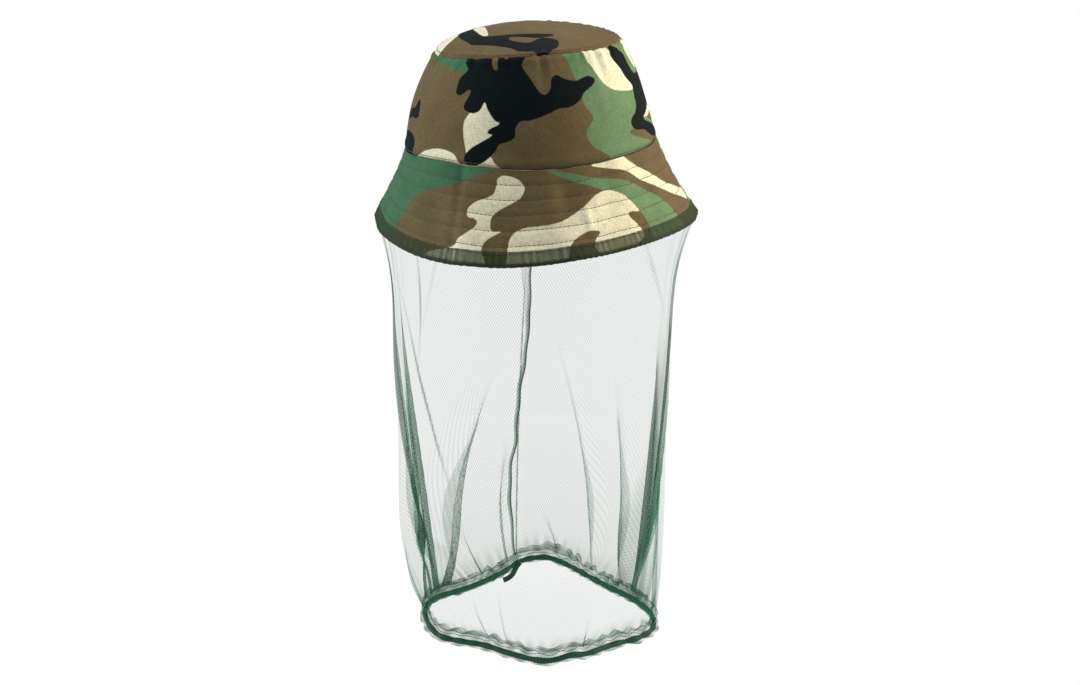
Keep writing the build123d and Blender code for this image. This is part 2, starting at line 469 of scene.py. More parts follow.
def inside_by(spots, points):
    """How far each spot lies inside a smooth loop, in mm, and below zero outside."""
    loop = smooth_loop(points)
    far = np.roll(loop, -1, 0)
    run = far - loop
    nearest = np.full(len(spots), 1e9)
    crossings = np.zeros(len(spots), int)
    for a, b, d in zip(loop, far, run):
        share = np.clip((spots - a) @ d / max(d @ d, 1e-9), 0, 1)
        nearest = np.minimum(nearest, np.linalg.norm(spots - a - share[:, None] * d, axis=1))
        spans = (a[1] > spots[:, 1]) != (b[1] > spots[:, 1])
        rise = d[1] if abs(d[1]) > 1e-9 else 1e-9
        crossings += spans & (spots[:, 0] < a[0] + (spots[:, 1] - a[1]) / rise * d[0])
    return np.where(crossings % 2 == 1, nearest, -nearest)


def print_on(mesh, spots, blots, unit=(1.0, 1.0)):
    """Stores how far each vertex lies inside green, cream and black as the mesh's print."""
    unit = np.array(unit)
    depths = []
    for colour in ("green", "cream", "black"):
        depth = np.full(len(spots), -FAR)
        for points in blots.get(colour, []):
            depth = np.maximum(depth, inside_by(spots * unit, np.array(points) * unit))
        for points in blots.get("not_" + colour, []):
            depth = np.minimum(depth, -inside_by(spots * unit, np.array(points) * unit))
        depths.append(np.clip(depth, -DEEPEST, DEEPEST))
    layer = mesh.attributes.new("print", "FLOAT_VECTOR", "POINT")
    layer.data.foreach_set("vector", np.stack(depths, -1).astype(np.float32).ravel())


ROUND_BLOT = [(2, 0), (0, 2), (-2, 0), (0, -2)]
print("a round blot holds its centre by", inside_by(np.zeros((1, 2)), ROUND_BLOT))

# %% Blots on the front of the crown, by degrees round and mm up from the brim seam
CROWN_FRONT_BLOTS = {
    "green": [
        [(-80, 82), (-75, 73.5), (-65, 72), (-51, 69), (-43, 67), (-36.5, 66), (-33, 69), (-33, 82)],
        [(23, 82), (24, 70), (25.6, 60.4), (28, 52), (27.5, 45), (28.5, 39.6), (31.7, 33.3),
         (31, 29), (28, 24.8), (27.3, 20), (29.5, 12.6), (33.5, 8), (38.2, 2), (40, -4), (96, -4),
         (96, 82)],
    ],
    "not_green": [
        [(54.6, 16.8), (53, 15), (57.5, 11.3), (64.6, 7), (75, 1.8), (82, -1), (86, 3), (80, 8),
         (68, 14), (60, 17)],
        [(74, 21), (80, 20.5), (88, 22), (90, 14), (84, 15), (78, 18)],
    ],
    "cream": [
        [(-27.8, 38), (-30.3, 32), (-30.6, 25), (-29.5, 14.5), (-28, 8.5), (-22, 12), (-15, 20),
         (-10, 30), (-14, 40), (-18, 48), (-22, 47), (-25, 42)],
        [(-16.9, 8.2), (-15.2, 4), (-12, -3), (-28, -3), (-25, 3), (-20, 7)],
        [(-64, -2), (-58.5, 2.5), (-53.7, 6.1), (-46.5, 9), (-39.9, 9), (-35, 6.6), (-33.4, 2.5),
         (-35.5, -2)],
        [(35, 82), (35.3, 71.5), (37.9, 64.5), (41, 56.3), (44, 51.5), (48.5, 47.2), (58, 44.2),
         (66, 43), (69, 45.5), (66.3, 48.8), (63, 54), (61.5, 60), (58.3, 65.2), (56, 72),
         (53.5, 76.5), (51, 82)],
        [(68.5, 22.6), (76, 24), (86, 25.5), (88, 22), (80, 20.5), (74, 20.8)],
        [(84, 82), (81, 70), (82, 62), (86, 55), (97, 54), (97, 82)],
    ],
    "black": [
        [(-39, 82), (-38, 73), (-35, 67.5), (-38.6, 62), (-38.7, 56), (-38, 51), (-34.8, 50),
         (-30.8, 54), (-29.5, 51.4), (-31.8, 43), (-29.9, 39.2), (-26, 38), (-22.6, 40.5),
         (-20.8, 46), (-18.7, 40.8), (-14.8, 33.7), (-12.3, 31.9), (-17.5, 27.6), (-17.9, 24.4),
         (-16.1, 23.5), (-24.7, 14.7), (-29, 8.6), (-29.7, 3), (-26.7, -0.5), (-20.2, 4),
         (-14.4, 13), (-12.8, 17.5), (-7.4, 20.5), (-5.5, 24), (-5.2, 29), (-2.9, 33.6),
         (2.2, 34.3), (9.8, 37.9), (15, 40.8), (21.2, 41.3), (26, 44.6), (29.4, 49.4),
         (35.5, 53.4), (37.3, 56.5), (34.5, 59.3), (31, 58.9), (26, 57.4), (21, 58.9),
         (16, 62.2), (13, 60.3), (12, 54), (9.2, 50.3), (6.3, 52.4), (2.2, 60.6), (-2.8, 69.6),
         (-1, 75), (-0.8, 82)],
        [(57, 75.5), (62, 76), (68, 72.2), (73.5, 67), (74.2, 60), (79, 52), (90, 52),
         (97, 49), (97, 31), (84, 27), (76, 23.7), (70, 21.8), (70.5, 19.5), (75.6, 16.5),
         (83, 12.5), (88, 8.5), (87, 3), (81, 3.2), (73.2, 7.3), (67, 13), (58.6, 15.7),
         (55.6, 19.5), (56.3, 24.2), (61, 27.5), (64.6, 32), (66.2, 39), (68.2, 45.5),
         (64.6, 51.6), (62.4, 57), (60, 62.5), (56.3, 69), (55.7, 73)],
        [(-69.7, 42.5), (-66.4, 40.5), (-65, 35), (-64.6, 30), (-69, 28.2), (-74, 28.6), (-79, 25.5),
         (-84, 29), (-79, 34), (-73, 36)],
        [(-75, 17), (-68, 16), (-65, 10.5), (-66.3, 2.5), (-69, -3), (-96, -3), (-96, 12), (-83, 16)],
    ],
    "not_black": [
        [(-21.7, 82), (-20.3, 72), (-18.7, 68), (-16.6, 67), (-16.9, 71), (-18.3, 82)],
        [(-14.2, 82), (-13.6, 75.5), (-12.2, 74.2), (-10.8, 75.5), (-10.2, 82)],
    ],
}
print(sum(len(loops) for loops in CROWN_FRONT_BLOTS.values()), "outlines on the crown's front")

# %% Blots on the front of the brim, by degrees round and mm down from the seam
BRIM_FRONT_BLOTS = {
    "green": [
        [(-15, -4), (-17, 1.5), (-23.3, 5.2), (-28.5, 9.5), (-42.2, 17.8), (-48.6, 21.4), (-54.5, 28),
         (-58.3, 37.2), (-59.6, 46), (-61.7, 54), (-63, 70), (-97, 70), (-97, -4)],
        [(6, -0.5), (13.4, 1.9), (19.2, 4.8), (24.7, 8.4), (32, 12), (39.6, 15.4), (45, 20),
         (51, 27.8), (57.5, 36.5), (62, 46), (63.3, 55.5), (63.5, 70), (46, 70), (45.1, 49.8),
         (42.6, 40), (34, 26), (29, 18.7), (20.2, 11.8), (11, 4.2)],
    ],
    "cream": [
        [(27.5, 0.5), (34.3, -2), (43, -3), (47.6, 3.4), (55.8, 14.2), (61.1, 20.8), (67.6, 28.2),
         (79, 37.5), (92, 44), (92, 52), (84, 49), (73, 41.5), (57.9, 27.5), (50.8, 19.5),
         (44.5, 11), (38.2, 7), (32.8, 3.8)],
        [(-12, 4.6), (-8.3, 4.6), (-4.8, 6.9), (-2.6, 12), (-4, 17.9), (-7, 21.6), (-14.3, 28.8),
         (-16.4, 34), (-15.9, 41), (-12, 41), (-17.2, 46.8), (-19, 54), (-17.7, 70), (-43, 70),
         (-41, 60.5), (-35.4, 56.4), (-29.7, 52.6), (-28.5, 48.5), (-23.9, 42), (-21.6, 37),
         (-22.9, 34), (-25.4, 33.7), (-26, 28.5), (-22.3, 22.5), (-16.1, 17.8), (-14.3, 11),
         (-14, 7)],
        [(-9.6, 57), (-9.3, 49), (-7.6, 43), (-3.3, 39.2), (7, 38.3), (12.5, 35.8), (20.8, 28.5),
         (26, 22.7), (31, 20.6), (35, 22.4), (39.6, 28.5), (42.8, 38.2), (43.3, 41.6), (39.6, 39.8),
         (38, 42.5), (40.4, 50.5), (41, 58), (36, 62.8), (28, 62.6), (24, 63.5), (21.4, 60),
         (21.4, 54), (24.3, 48.4), (21.4, 46.4), (17.6, 47.5), (12.5, 53.8), (8.2, 70), (-9, 70)],
    ],
}
print(sum(len(loops) for loops in BRIM_FRONT_BLOTS.values()), "outlines on the brim's front")

# %% Blots on the tip, by mm to the right and mm to the back of the hat's middle
TIP_BLOTS = {
    "green": [
        [(6, 66), (20, 58), (34, 55), (44, 50), (50, 62), (30, 74), (8, 74)],
    ],
    "cream": [
        [(-39, 11), (-34.5, 12.5), (-30.5, 6), (-28.5, -10), (-27.5, -22), (-29.5, -24), (-33, -19),
         (-36, -6), (-38, 3)],
        [(-72, -26), (-63, -22), (-60, -11), (-55, 0), (-50, 12), (-50, 30), (-60, 38), (-76, 10)],
    ],
    "black": [
        [(-51, 12), (-47, 27), (-41.5, 17), (-37.5, -3), (-33, -20), (-27.5, -26), (-13, -28),
         (3.5, -27), (11.5, -25), (18, -23.3), (20.5, -25), (17.5, -31), (8, -36.3), (-9, -33.5),
         (-12.5, -36.5), (-9.5, -41), (-1, -45.8), (4, -44.5), (9, -38), (16, -35.5),
         (21, -38), (23, -43.5), (22, -54), (18, -62.5), (10.5, -69), (2.5, -64), (-5, -62),
         (-10, -55), (-19.5, -48.5), (-37.5, -37.5), (-42.5, -28), (-48, -11)],
        [(-46, 58), (-34, 56), (-20, 62), (-14, 74), (-46, 74)],
    ],
}
print(sum(len(loops) for loops in TIP_BLOTS.values()), "outlines on the tip")

# %% [markdown]
# ## Printed cotton
#
# The cloth is a plain weave of matt cotton yarn, dyed brown and then printed. The eye gets
# no gloss from it at all, only a fine mottle where the yarns take the ink unevenly, a soft
# fuzz of light at the edges, and a green that is painted lighter and yellower towards the
# right, as painted light from the warmer right-hand lamp. Real yarns lie 0.35 mm apart, too
# fine to show here, so warp and weft are drawn 0.7 mm apart. The wrong side, which faces
# inwards, is the same cloth with the ink only showing through.

# %% Cotton material
YARN_PITCH = 0.7 * MM
INK_BLEED = 0.45
PRINT_EDGE = 0.3


def printed_cotton(name, fade):
    """Camouflage cotton. fade is 0 on the printed face, and more where the ink is faint."""
    finish, tree, shader = new_material(name)
    uv = cloth_place(tree)
    pattern = node(tree, "ShaderNodeAttribute", attribute_name="print").outputs["Vector"]
    depths = node(tree, "ShaderNodeSeparateXYZ", {0: pattern}).outputs
    bleed = ranged(tree, clouds(tree, uv, 1.6 * MM), 0.0, 1.0, -INK_BLEED, INK_BLEED)
    rightwards = node(tree, "ShaderNodeSeparateXYZ", {0: object_place(tree)}).outputs[0]
    # The green is painted lighter and yellower towards the right: painted light from the warmer
    # right-hand lamp.
    painted_light_rightwards = ranged(tree, rightwards, -30 * MM, 50 * MM)
    green = mixed(tree, painted_light_rightwards, srgb("#406b4c"), srgb("#6a8860"))
    ink = srgb("#675a3d")
    for depth, shade in zip(depths, (green, srgb("#e4e0c0"), srgb("#081315"))):
        cover = ranged(tree, sums(tree, "ADD", depth, bleed), -PRINT_EDGE, PRINT_EDGE)
        ink = mixed(tree, cover, ink, shade)
    faded = mixed(tree, fade, ink, srgb("#8f8a70"))
    yarns = []
    for stretch in ((1.0, 0.16, 1.0), (0.16, 1.0, 1.0)):
        along = node(tree, "ShaderNodeMapping", {"Vector": uv, "Scale": stretch}).outputs[0]
        yarns.append(clouds(tree, along, YARN_PITCH, 1.0))
    weave = sums(tree, "ADD", *yarns)
    speckle = ranged(tree, weave, 0.7, 1.3, 0.82, 1.18)
    # Broad random patches where the cloth is a little lighter and darker.
    uneven_tone = ranged(tree, clouds(tree, uv, 22 * MM, 3.0), 0.3, 0.7, 0.9, 1.1)
    tone = sums(tree, "MULTIPLY", speckle, uneven_tone)
    dyed = node(tree, "ShaderNodeVectorMath", {0: faded, "Scale": tone}, operation="SCALE")
    feed(
        tree,
        shader,
        {
            "Base Color": dyed.outputs[0],
            "Normal": relief(tree, weave, 0.35, 0.25 * MM),
            "Roughness": 0.92,
            "Specular IOR Level": 0.06,
            "Sheen Weight": 0.03,
            "Sheen Roughness": 0.6,
        },
    )
    return finish


cotton_face = printed_cotton("printed camouflage cotton", 0.0)
cotton_back = printed_cotton("camouflage cotton, wrong side", 0.45)
print("materials", cotton_face.name, "and", cotton_back.name)

# %% [markdown]
# ## The crown's side
#
# The side is cut as a front and a back, and stands as a wall that curves in towards the tip.
# Near the tip seam the side is eased into a smaller circle, so it puckers there, and the
# doubled seam allowances underneath raise a soft ridge beside each seam. Where the front
# meets the back the cloth dips into the seam. The front is a little slack and bellies out,
# and in two places the easing has left a deeper tuck.

# %% The crown's line
CROWN_TAPER = 14.0
CROWN_CURVE = 11.7


def crown_radius(height):
    """Radius of the side's outer face at a height."""
    up = np.clip(height / CROWN_HEIGHT, 0, 1)
    return SEAM_RADIUS - CROWN_TAPER * up - CROWN_CURVE * up**3


SEAM_DIP = 0.9
FRONT_BELLY = 3.0
BELLY_TOP = 62.0
SIDE_SEAM_TURN = 90.0
TUCKS = [
    # turn, half width in degrees, push outwards in mm
    (49, 2.6, 2.6), (44, 2.4, -3.6), (39, 2.2, 2.0),
    (13, 1.8, 1.6), (9, 1.8, -2.4), (5, 1.6, 1.4),
]


def side_dip(turn):
    """How far the cloth dips into the two side seams, in mm."""
    away = np.abs(np.abs(turn) - SIDE_SEAM_TURN)
    return SEAM_DIP * near(away, 0, 0.8) - 0.5 * SEAM_DIP * near(away, 2.6, 1.2)


def crown_point(turn, height, depth=0.0):
    """A point of the crown's side, at a depth inside its outer face."""
    from_tip = CROWN_HEIGHT - height
    ridge = 0.9 * near(from_tip, 3.2, 2.2) - 1.2 * near(from_tip, 0, 0.9)
    ridge += 0.7 * near(height, 5.0, 3.0) - 0.9 * near(height, 0, 1.0)
    puckers = PUCKER(turn) * np.exp(-from_tip / 6) * 0.8
    dents = DENT(turn, height) * np.sin(np.pi * np.clip(height / CROWN_HEIGHT, 0, 1))
    below_seam = (1 - np.exp(-from_tip / 3)) * np.exp(-from_tip / 12)
    tucks = sum(push * near(turn, at, width) for at, width, push in TUCKS)
    dents = dents + tucks * below_seam
    belly = FRONT_BELLY * near(turn, 5, 42) * np.sin(np.pi * np.clip(height / BELLY_TOP, 0, 1))
    radius = crown_radius(height) + ridge + puckers + dents + belly - side_dip(turn) - depth
    return settle(turn, radius, height)


print("crown radius halfway up", round(float(crown_radius(CROWN_HEIGHT / 2)), 1))

# %% Front and back of the crown's side
CLOTH_STEP = 1.5


def grid(start, end, step):
    """Evenly spaced values from start to end, about step apart."""
    return np.linspace(start, end, int(round(abs(end - start) / step)) + 1)


def crown_panel(name, node_name, first_turn, blots, flip=False):
    """Half of the crown's side, from one side seam to the other, printed and thickened."""
    degree = math.radians(1) * SEAM_RADIUS
    turns = grid(first_turn, first_turn + 180, CLOTH_STEP / degree)
    heights = grid(0, CROWN_HEIGHT, CLOTH_STEP)
    t, h = np.meshgrid(turns, heights)
    mesh = cloth_mesh(name, crown_point(t, h), turns * degree, heights)
    across = (t - first_turn - 90).ravel()
    up = h.ravel()
    if flip:
        across, up = 22 - 0.95 * across, CROWN_HEIGHT - up
    print_on(mesh, np.stack([across, up], -1), blots, (1.4, 1.0))
    piece = new_piece(name, mesh, cotton_face, cotton_back)
    thicken(piece, COTTON, inside=1)
    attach(piece, "hat")
    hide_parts(node_name)
    return piece


crown_front = crown_panel("crown_side_front_cloth", "crown_side_front", -90, CROWN_FRONT_BLOTS)
crown_panel("crown_side_back_cloth", "crown_side_back", 90, CROWN_FRONT_BLOTS, True)
print("crown panel faces", len(crown_front.data.polygons))

# %% [markdown]
# ## The tip
#
# The tip is a round panel that domes over the head. A round grid would crowd its points in
# the middle, so the panel is made from rings of points, and the innermost ring is merged
# to one point. Its edge rolls down over the seam allowance.

# %% The tip


def dome_height(radius):
    """Height of the domed tip at a radius."""
    ball = (TIP_RADIUS**2 + TIP_RISE**2) / (2 * TIP_RISE)
    return CROWN_HEIGHT + TIP_RISE - ball + np.sqrt(ball**2 - np.clip(radius, 0, TIP_RADIUS) ** 2)


def tip_point(turn, radius, lift=0.0):
    """A point of the tip, at a lift above its outer face."""
    from_seam = TIP_RADIUS - radius
    ridge = 0.8 * near(from_seam, 3.6, 2.2) - 1.0 * near(from_seam, 0, 0.8)
    puckers = PUCKER(turn) * np.exp(-from_seam / 5) * 0.6
    dents = DENT(turn, radius) * 0.5 * smooth(radius, 5, 40)
    return settle(turn, radius, dome_height(radius) + ridge + puckers + dents + lift + 0.01)


turns = grid(-180, 180 - 1.25, 1.25)
radii = grid(TIP_RADIUS, 0, CLOTH_STEP)
t, r = np.meshgrid(turns, radii)
tip_mesh = cloth_mesh("crown_tip_cloth", tip_point(t, r), turns, radii, closed=True)
plan = np.stack([r * np.sin(np.radians(t)), -r * np.cos(np.radians(t))], -1).reshape(-1, 2)
print_on(tip_mesh, plan, TIP_BLOTS)
tip_uv = tip_mesh.uv_layers["cloth"].data
corner_vertices = np.zeros(len(tip_mesh.loops), int)
tip_mesh.loops.foreach_get("vertex_index", corner_vertices)
tip_uv.foreach_set("uv", (plan[corner_vertices] * MM).astype(np.float32).ravel())
crown_tip = new_piece("crown_tip_cloth", tip_mesh, cotton_face, cotton_back)
weld(crown_tip, 0.02)
thicken(crown_tip, COTTON, inside=1)
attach(crown_tip, "hat")
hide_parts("crown_tip")
print("tip faces", len(tip_mesh.polygons))

# %% [markdown]
# ## The brim
#
# The brim is two plies of printed cotton over a stiff nonwoven interlining, quilted by five
# rings of stitching. Each ring pulls the plies together and the cloth between two rings
# stands up a little, which is what makes a stitched brim look stitched. A function gives a
# point of the brim by its turn, its run down from the seam and its depth below the outer
# face, so the three plies and the stitches all fit one another.

# %% The brim's line
PLY_PUFF = 0.35
BRIM_RADIAL = BRIM_DROP / BRIM_LENGTH
BRIM_UP = BRIM_REACH / BRIM_LENGTH
RIPPLE = frozen_uneven(8, 26, 50, 9)
BUCKLE = frozen_uneven(4, 12, 90)


def brim_point(turn, run, depth=0.0):
    """A point of the brim: mm down from the seam, and mm below the outer face."""
    to_row = np.abs((run + ROW_PITCH / 2) % ROW_PITCH - ROW_PITCH / 2)
    quilted = (run > ROW_PITCH / 2) & (run < (QUILT_ROWS + 0.5) * ROW_PITCH)
    puff = np.where(quilted, PLY_PUFF * (1 - 2 * near(to_row, 0, 1.1)), 0.3)
    puff = puff * np.clip(1 - depth / (BRIM_STACK / 2), -1, 1)
    share = run / BRIM_LENGTH
    wave = 0.5 * RIPPLE(turn, run) + 0.9 * BUCKLE(turn, run) * share
    crease = 1.3 * near(turn, 21, 1.6) * near(run, 38, 11) - 1.0 * near(turn, -31, 2.0)
    crease = crease - 0.8 * near(turn, 13, 3.0) * near(run, 20, 16) - side_dip(turn)
    outwards = puff + wave + crease - depth
    sag = -2.0 * np.sin(np.pi * share)
    radius = SEAM_RADIUS + BRIM_REACH * share + sag + outwards * BRIM_RADIAL
    return settle(turn, radius, -BRIM_DROP * share + outwards * BRIM_UP)


print("brim edge at the right", brim_point(90.0, BRIM_LENGTH).round(1))

# %% Plies of the brim


def brim_panel(name, node_name, first_turn, depth, blots, flip=False):
    """Half of one ply of the brim, printed on the side that shows."""
    degree = math.radians(1) * (SEAM_RADIUS + BRIM_REACH / 2)
    turns = grid(first_turn, first_turn + 180, CLOTH_STEP / degree)
    runs = grid(BRIM_LENGTH, 0.0, CLOTH_STEP * 0.8)
    t, run = np.meshgrid(turns, runs)
    mesh = cloth_mesh(name, brim_point(t, run, depth), turns * degree, runs)
    across = (t - first_turn - 90).ravel()
    down = run.ravel()
    if flip:
        across = across * 0.9 - 14
    print_on(mesh, np.stack([across, down], -1), blots, (1.85, 1.0))
    underneath = depth > 0
    faces = (cotton_back, cotton_face) if underneath else (cotton_face, cotton_back)
    piece = new_piece(name, mesh, *faces)
    thicken(piece, COTTON, inside=1)
    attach(piece, "hat")
    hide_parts(node_name)
    return piece


UNDER_DEPTH = COTTON + STIFFENER
brim_panel("brim_top_front_cloth", "brim_top_front", -90, 0.0, BRIM_FRONT_BLOTS)
brim_panel("brim_top_back_cloth", "brim_top_back", 90, 0.0, BRIM_FRONT_BLOTS, True)
brim_panel("brim_under_front_cloth", "brim_under_front", -90, UNDER_DEPTH, BRIM_FRONT_BLOTS, True)
brim_panel("brim_under_back_cloth", "brim_under_back", 90, UNDER_DEPTH, BRIM_FRONT_BLOTS)
print("four brim plies")

# %% [markdown]
# ## The brim's interlining and the sweatband
#
# The interlining is a white polyester web, pressed rather than woven, so its material shows
# short fibres in every direction. The sweatband is cotton twill tape, whose weave runs in
# fine slanting ribs. Both are plain rings of cloth that follow the hat's own surfaces.

# %% Interlining
web, web_tree, web_shader = new_material("pressed polyester web")
fibres = clouds(web_tree, cloth_place(web_tree), 1.2 * MM, 4.0, 2.0)
web_tint = mixed(web_tree, fibres, srgb("#c9c8c2"), srgb("#efeeea"))
feed(web_tree, web_shader, {"Base Color": web_tint, "Roughness": 0.8})

ring_turns = grid(-180, 180 - 1.5, 1.5)
runs = grid(BRIM_LENGTH - 0.6, 0.4, 3)
t, run = np.meshgrid(ring_turns, runs)
gap = 0.03
WEB_DEGREE = 1.9
web_points = brim_point(t, run, COTTON + gap)
web_flat = ring_turns * WEB_DEGREE
web_mesh = cloth_mesh("brim_interlining_web", web_points, web_flat, runs, closed=True)
interlining = new_piece("brim_interlining_web", web_mesh, web)
thicken(interlining, STIFFENER - 2 * gap)
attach(interlining, "hat")
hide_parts("brim_interlining")
print("interlining faces", len(web_mesh.polygons))

# %% Sweatband
tape, tape_tree, tape_shader = new_material("cotton twill tape")
TWILL_RIB = 1.1 * MM
twill = {"Vector": cloth_place(tape_tree), "Scale": 0.314 / TWILL_RIB, "Distortion": 0.6}
ribs = node(tape_tree, "ShaderNodeTexWave", twill, bands_direction="DIAGONAL").outputs["Fac"]
tape_tint = mixed(tape_tree, ribs, srgb("#3d3f2c"), srgb("#5b5d42"))
tape_relief = relief(tape_tree, ribs, 0.4, 0.2 * MM)
feed(tape_tree, tape_shader, {"Base Color": tape_tint, "Normal": tape_relief, "Roughness": 0.9})

BAND_HEIGHT = box_mm("sweatband")[1].z
TAPE = 1.0
heights = grid(0.2, BAND_HEIGHT, 2)
t, h = np.meshgrid(ring_turns, heights)
tape_depth = COTTON + 0.15 + 0.5 * near(h, BAND_HEIGHT, 4)
TAPE_DEGREE = 1.6
tape_points = crown_point(t, h, tape_depth)
tape_mesh = cloth_mesh(
    "sweatband_tape", tape_points, ring_turns * TAPE_DEGREE, heights, closed=True
)
sweatband = new_piece("sweatband_tape", tape_mesh, tape)
thicken(sweatband, TAPE)
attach(sweatband, "hat")
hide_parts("sweatband")
print("sweatband faces", len(tape_mesh.polygons))

# %% [markdown]
# ## Net
#
# The veil is knitted nylon net, a tulle with small six-sided holes. Its threads are dark
# green and so thin that one layer takes away only about a tenth of the light. What the eye
# sees is layers: where the net is folded or gathered, eight or ten lie on each other and
# the green comes out. The material draws the mesh with two families of slanted threads and
# the knots between them, as cover, and a "layers" value on the mesh says how many layers
# are crumpled together at each point. Real holes are 1.6 mm wide, and these are 2.2 mm, so
# that they can just be seen. Each thread is drawn wider and fainter than the real one, with
# the same mean cover, so that the picture stays free of grain. Where layers lie on each other
# their holes don't line up, so the more layers there are, the more even the cover is; and the
# threads are painted darker where layers are many, as painted shade, so a dense fold is darker.

# %% Net material
HOLE = 2.2 * MM
THREAD_COVER = 0.105
THREAD_SLOPE = 0.58
MEAN_LATTICE = 0.75
LATTICE_CONTRAST = 0.78


def knitted_net(name, shade, painted_layer_shade):
    """Tulle. One layer takes THREAD_COVER of the light; painted_layer_shade is the darker colour
    painted where many layers lie, as painted shade.
    """
    finish, tree, shader = new_material(name)
    split = node(tree, "ShaderNodeSeparateXYZ", {0: cloth_place(tree)}).outputs
    threads = []
    for slope in (THREAD_SLOPE, -THREAD_SLOPE):
        slanted = sums(tree, "MULTIPLY_ADD", split[1], slope, split[0])
        swing = sums(tree, "COSINE", sums(tree, "MULTIPLY", slanted, math.pi / HOLE))
        threads.append(sums(tree, "POWER", swing, 4.0))
    above_mean = sums(tree, "SUBTRACT", sums(tree, "ADD", *threads), MEAN_LATTICE)
    layers = node(tree, "ShaderNodeAttribute", attribute_name="layers").outputs["Fac"]
    muddle = sums(tree, "MULTIPLY", sums(tree, "POWER", layers, -0.7), LATTICE_CONTRAST)
    evened = sums(tree, "MULTIPLY_ADD", above_mean, muddle, MEAN_LATTICE)
    one_layer = sums(tree, "MULTIPLY", evened, THREAD_COVER / MEAN_LATTICE)
    through = sums(tree, "POWER", sums(tree, "SUBTRACT", 1.0, one_layer), layers)
    feed(
        tree,
        shader,
        {
            "Alpha": sums(tree, "SUBTRACT", 1.0, through),
            # The colour goes from shade to painted_layer_shade as layers grow: painted shade of the
            # inner layers.
            "Base Color": mixed(tree, ranged(tree, layers, 4.0, 15.0), srgb(shade), srgb(painted_layer_shade)),
            "Roughness": 0.7,
            "Specular IOR Level": 0.15,
        },
    )
    return finish


# The second colour is the painted shade of many layers.
veil_net_finish = knitted_net("knitted nylon net", "#17694a", "#0e2119")
print("net hole", HOLE / MM, "mm")

# %% [markdown]
# ## The binding on the brim's edge
#
# The net's top edge is gathered and folded over the edge of the brim, like a binding, and
# stitched down. The gathers make it several layers deep, so the print shows through it as
# a green shadow, and along the fold at the very edge it is dark, from its many layers and from
# the painted shade that the net's colour takes there. It is one strip that comes up the outer
# face, turns round the edge and goes up the inner face.

# %% Binding
BINDING_GAP = 0.25
CRIMP = frozen_uneven(90, 190, 12, 12)


def strip_mesh(name, points, flat_u, flat_v, layers):
    """A closed strip of net with its number of layers at each point."""
    mesh = cloth_mesh(name, points, flat_u, flat_v, closed=True)
    store_numbers(mesh, "layers", layers)
    return mesh


binding_turns = grid(-180, 180 - 0.5, 0.5)
around = np.linspace(-1, 1, 23)
t, side = np.meshgrid(binding_turns, around)
EDGE_ROUND = 1.3
FOLD_SHARE = 0.25
BINDING_DEGREE = 2.11
BINDING_CUT = 21.0
leg = np.clip((np.abs(side) - FOLD_SHARE) / (1 - FOLD_SHARE), 0, 1)
fold = np.clip(side / FOLD_SHARE, -1, 1)
run = BRIM_LENGTH - leg * BINDING_WIDTH + np.cos(fold * np.pi / 2) * EDGE_ROUND
middle = BRIM_STACK / 2
half = middle + BINDING_GAP + 0.15 * (1 - leg) * 2
depth = middle + np.sin(fold * np.pi / 2) * half
crimp = 0.16 * CRIMP(t, run) * (0.35 + 0.65 * (1 - leg))
depth = depth + np.where(side < 0, -1, 1) * crimp * np.abs(fold)
run = run + 0.16 * CRIMP(t + 60, 0 * run) * (1 - leg)
binding_layers = 8.5 + 2 * CRIMP(t, run * 0.3) + 14 * np.exp(-((leg * BINDING_WIDTH) ** 2))
binding_layers = np.clip(binding_layers, 4, 40)
binding_mesh = strip_mesh(
    "brim_binding_net",
    brim_point(t, run, depth),
    binding_turns * BINDING_DEGREE,
    (around + 1) / 2 * BINDING_CUT,
    binding_layers,
)
# Its second colour is the painted shade of the dense fold.
binding_finish = knitted_net("gathered nylon net", "#344429", "#2a3723")
binding = new_piece("brim_binding_net", binding_mesh, binding_finish)
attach(binding, "hat")
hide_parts("brim_binding")
print("binding faces", len(binding_mesh.polygons))

# %% [markdown]
# ## Stitches
#
# Lockstitch thread lies on the cloth as short dashes with small gaps, where it dives in. One
# stitch is modelled as a tiny capsule from a sphere whose two halves are moved apart, with
# few faces because the hat has over a thousand of them. An array repeats it along a row, and a
# curve modifier bends the row onto its track. The thread is mercerised cotton, twisted, in
# a brown that is darker than the cream print and lighter than the black.

# %% Thread material
thread_finish, thread_tree, thread_shader = new_material("brown mercerised sewing thread")
fuzz = clouds(thread_tree, object_place(thread_tree), 0.8 * MM)
thread_tint = mixed(thread_tree, fuzz, srgb("#241f14"), srgb("#4b412b"))
feed(thread_tree, thread_shader, {"Base Color": thread_tint, "Roughness": 0.6, "Sheen Weight": 0.2})

# %% One stitch
STITCH_PITCH = 3.2
STITCH_BODY = 2.1
bpy.ops.object.select_all(action="DESELECT")
bpy.ops.mesh.primitive_uv_sphere_add(
    segments=6, ring_count=5, radius=THREAD / 2 * MM, rotation=(0, math.pi / 2, 0)
)
stitch = bpy.context.active_object
stitch.name = "one_stitch"
bpy.ops.object.transform_apply(location=False, rotation=True, scale=False)
for vertex in stitch.data.vertices:
    if vertex.co.x > 0:
        vertex.co.x += STITCH_BODY * MM
print("faces in a stitch", len(stitch.data.polygons))

# %% A row of stitches


